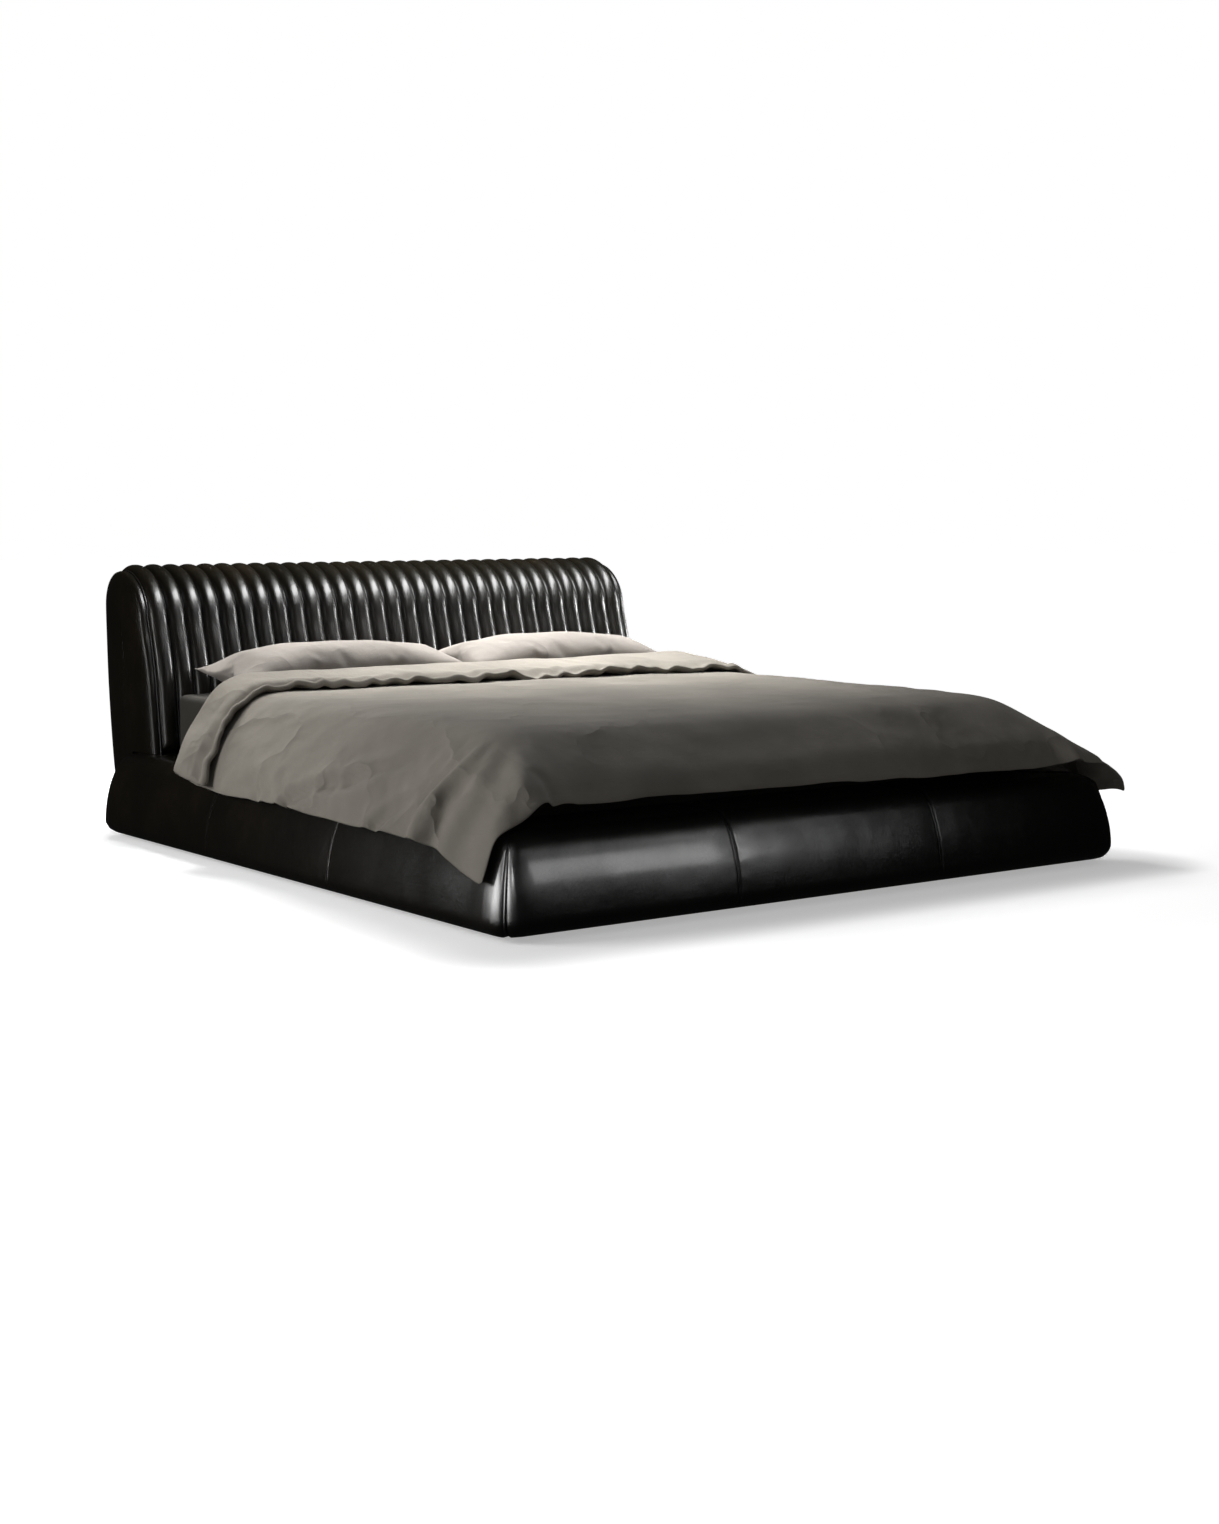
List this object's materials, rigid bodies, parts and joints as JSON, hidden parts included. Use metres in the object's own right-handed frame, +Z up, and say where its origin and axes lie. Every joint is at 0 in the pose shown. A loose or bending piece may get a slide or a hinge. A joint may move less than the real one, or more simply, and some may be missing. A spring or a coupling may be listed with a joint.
{
  "type": "upholstered sleigh bed",
  "caption": "Low upholstered sleigh bed with a rolled, channelled leather headboard, padded leather rails, mattress, pillows and a draped duvet.",
  "frame": {"origin": "on the floor, at the middle of the bed's footprint", "axes": "+Y towards the headboard, along the bed's length; +X across it; +Z up"},
  "size_m": [2.37, 2.74, 0.9313],
  "materials": {
    "black_leather": "gloss",
    "bedding_cotton": "matte",
    "sheet_cotton": "matte",
    "mattress_ticking": "matte",
    "black_plastic": "matte",
    "beech": "satin",
    "coated_steel": "satin",
    "zinc_steel": "satin",
    "pine": "matte",
    "plywood": "matte"
  },
  "bodies": {
    "bed_frame": {"beam_hanger_foot": "coated_steel", "beam_hanger_head": "coated_steel", "centre_beam": "pine", "centre_leg_foot": "coated_steel", "centre_leg_head": "coated_steel", "centre_leg_middle": "coated_steel", "corner_blocks": "pine", "corner_bolts": "zinc_steel", "floor_glides": "black_plastic", "foot_inner_board": "plywood", "foot_outer_board": "plywood", "foot_pad": "black_leather", "foot_plinth": "plywood", "foot_ribs": "plywood", "foot_top_board": "plywood", "head_cross_rail": "plywood", "headboard_back_cover": "black_leather", "headboard_back_skin": "plywood", "headboard_bolts": "zinc_steel", "headboard_bottom_rail": "pine", "headboard_channels": "black_leather", "headboard_end_left": "black_leather", "headboard_end_right": "black_leather", "headboard_feet": "pine", "headboard_former_1": "plywood", "headboard_former_2": "plywood", "headboard_former_3": "plywood", "headboard_former_4": "plywood", "headboard_former_5": "plywood", "headboard_front_skin": "plywood", "headboard_lower_cover": "black_leather", "headboard_middle_rail": "pine", "headboard_top_rail": "pine", "side_inner_board_left": "plywood", "side_inner_board_right": "plywood", "side_outer_board_left": "plywood", "side_outer_board_right": "plywood", "side_pad_left": "black_leather", "side_pad_right": "black_leather", "side_plinth_left": "plywood", "side_plinth_right": "plywood", "side_ribs_left": "plywood", "side_ribs_right": "plywood", "side_top_board_left": "plywood", "side_top_board_right": "plywood", "slat_caps_left": "black_plastic", "slat_caps_right": "black_plastic", "slat_ledge_left": "pine", "slat_ledge_right": "pine", "slats": "beech"},
    "mattress_unit": {"mattress": "mattress_ticking", "fitted_sheet": "sheet_cotton"},
    "duvet_unit": {"duvet": "bedding_cotton"},
    "left_pillow": {"pillow_left": "bedding_cotton"},
    "right_pillow": {"pillow_right": "bedding_cotton"},
    "foot_leveller": {"levelling_foot_foot": "zinc_steel"},
    "middle_leveller": {"levelling_foot_middle": "zinc_steel"},
    "head_leveller": {"levelling_foot_head": "zinc_steel"}
  },
  "joints": [
    {"name": "mattress_lift", "type": "slide", "parent": "bed_frame", "child": "mattress_unit", "axis": [0, 0, 1], "range_m": [0, 0.35]},
    {"name": "duvet_lift", "type": "slide", "parent": "mattress_unit", "child": "duvet_unit", "axis": [0, 0, 1], "range_m": [0, 0.3]},
    {"name": "left_pillow_lift", "type": "slide", "parent": "mattress_unit", "child": "left_pillow", "axis": [0, 0, 1], "range_m": [0, 0.3]},
    {"name": "right_pillow_lift", "type": "slide", "parent": "mattress_unit", "child": "right_pillow", "axis": [0, 0, 1], "range_m": [0, 0.3]},
    {"name": "foot_leveller_travel", "type": "slide", "parent": "bed_frame", "child": "foot_leveller", "axis": [0, 0, 1], "range_m": [0, 0.012]},
    {"name": "middle_leveller_travel", "type": "slide", "parent": "bed_frame", "child": "middle_leveller", "axis": [0, 0, 1], "range_m": [0, 0.012]},
    {"name": "head_leveller_travel", "type": "slide", "parent": "bed_frame", "child": "head_leveller", "axis": [0, 0, 1], "range_m": [0, 0.012]}
  ]
}
